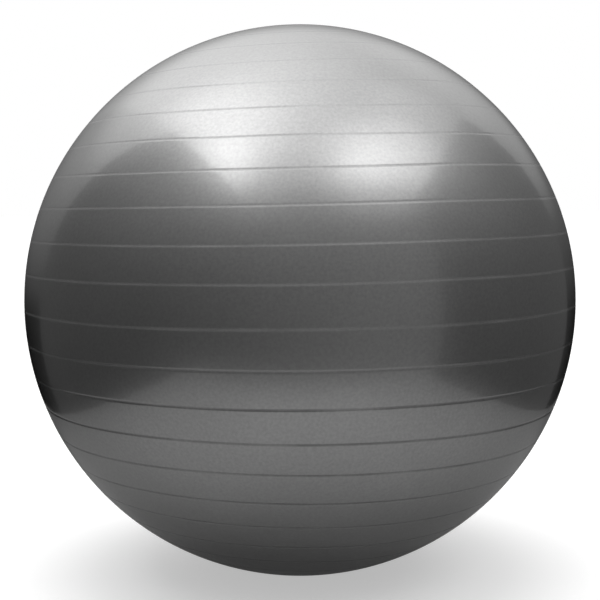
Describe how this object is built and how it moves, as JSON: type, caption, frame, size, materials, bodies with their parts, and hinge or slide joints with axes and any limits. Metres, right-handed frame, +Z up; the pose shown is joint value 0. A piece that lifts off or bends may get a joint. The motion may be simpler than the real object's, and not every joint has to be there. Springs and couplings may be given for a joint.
{
  "type": "exercise ball",
  "caption": "Inflated round exercise ball with fine ring grooves, a moulded-in valve and a pull-out air plug.",
  "frame": {"origin": "middle of the flat patch that the ball rests on, at floor level", "axes": "+Z up along the valve axis, with the valve on top; X and Y are level, and the ball is round about Z"},
  "size_m": [0.65, 0.65, 0.6477],
  "materials": {
    "silver_pvc": "satin",
    "valve_pvc": "satin",
    "white_plastic": "satin"
  },
  "bodies": {
    "ball": {"ball_skin": "silver_pvc", "valve_seat": "valve_pvc"},
    "plug": {"air_plug": "white_plastic"}
  },
  "joints": [
    {"name": "plug_pull", "type": "slide", "parent": "ball", "child": "plug", "axis": [0, 0, 1], "range_m": [0, 0.035]}
  ]
}
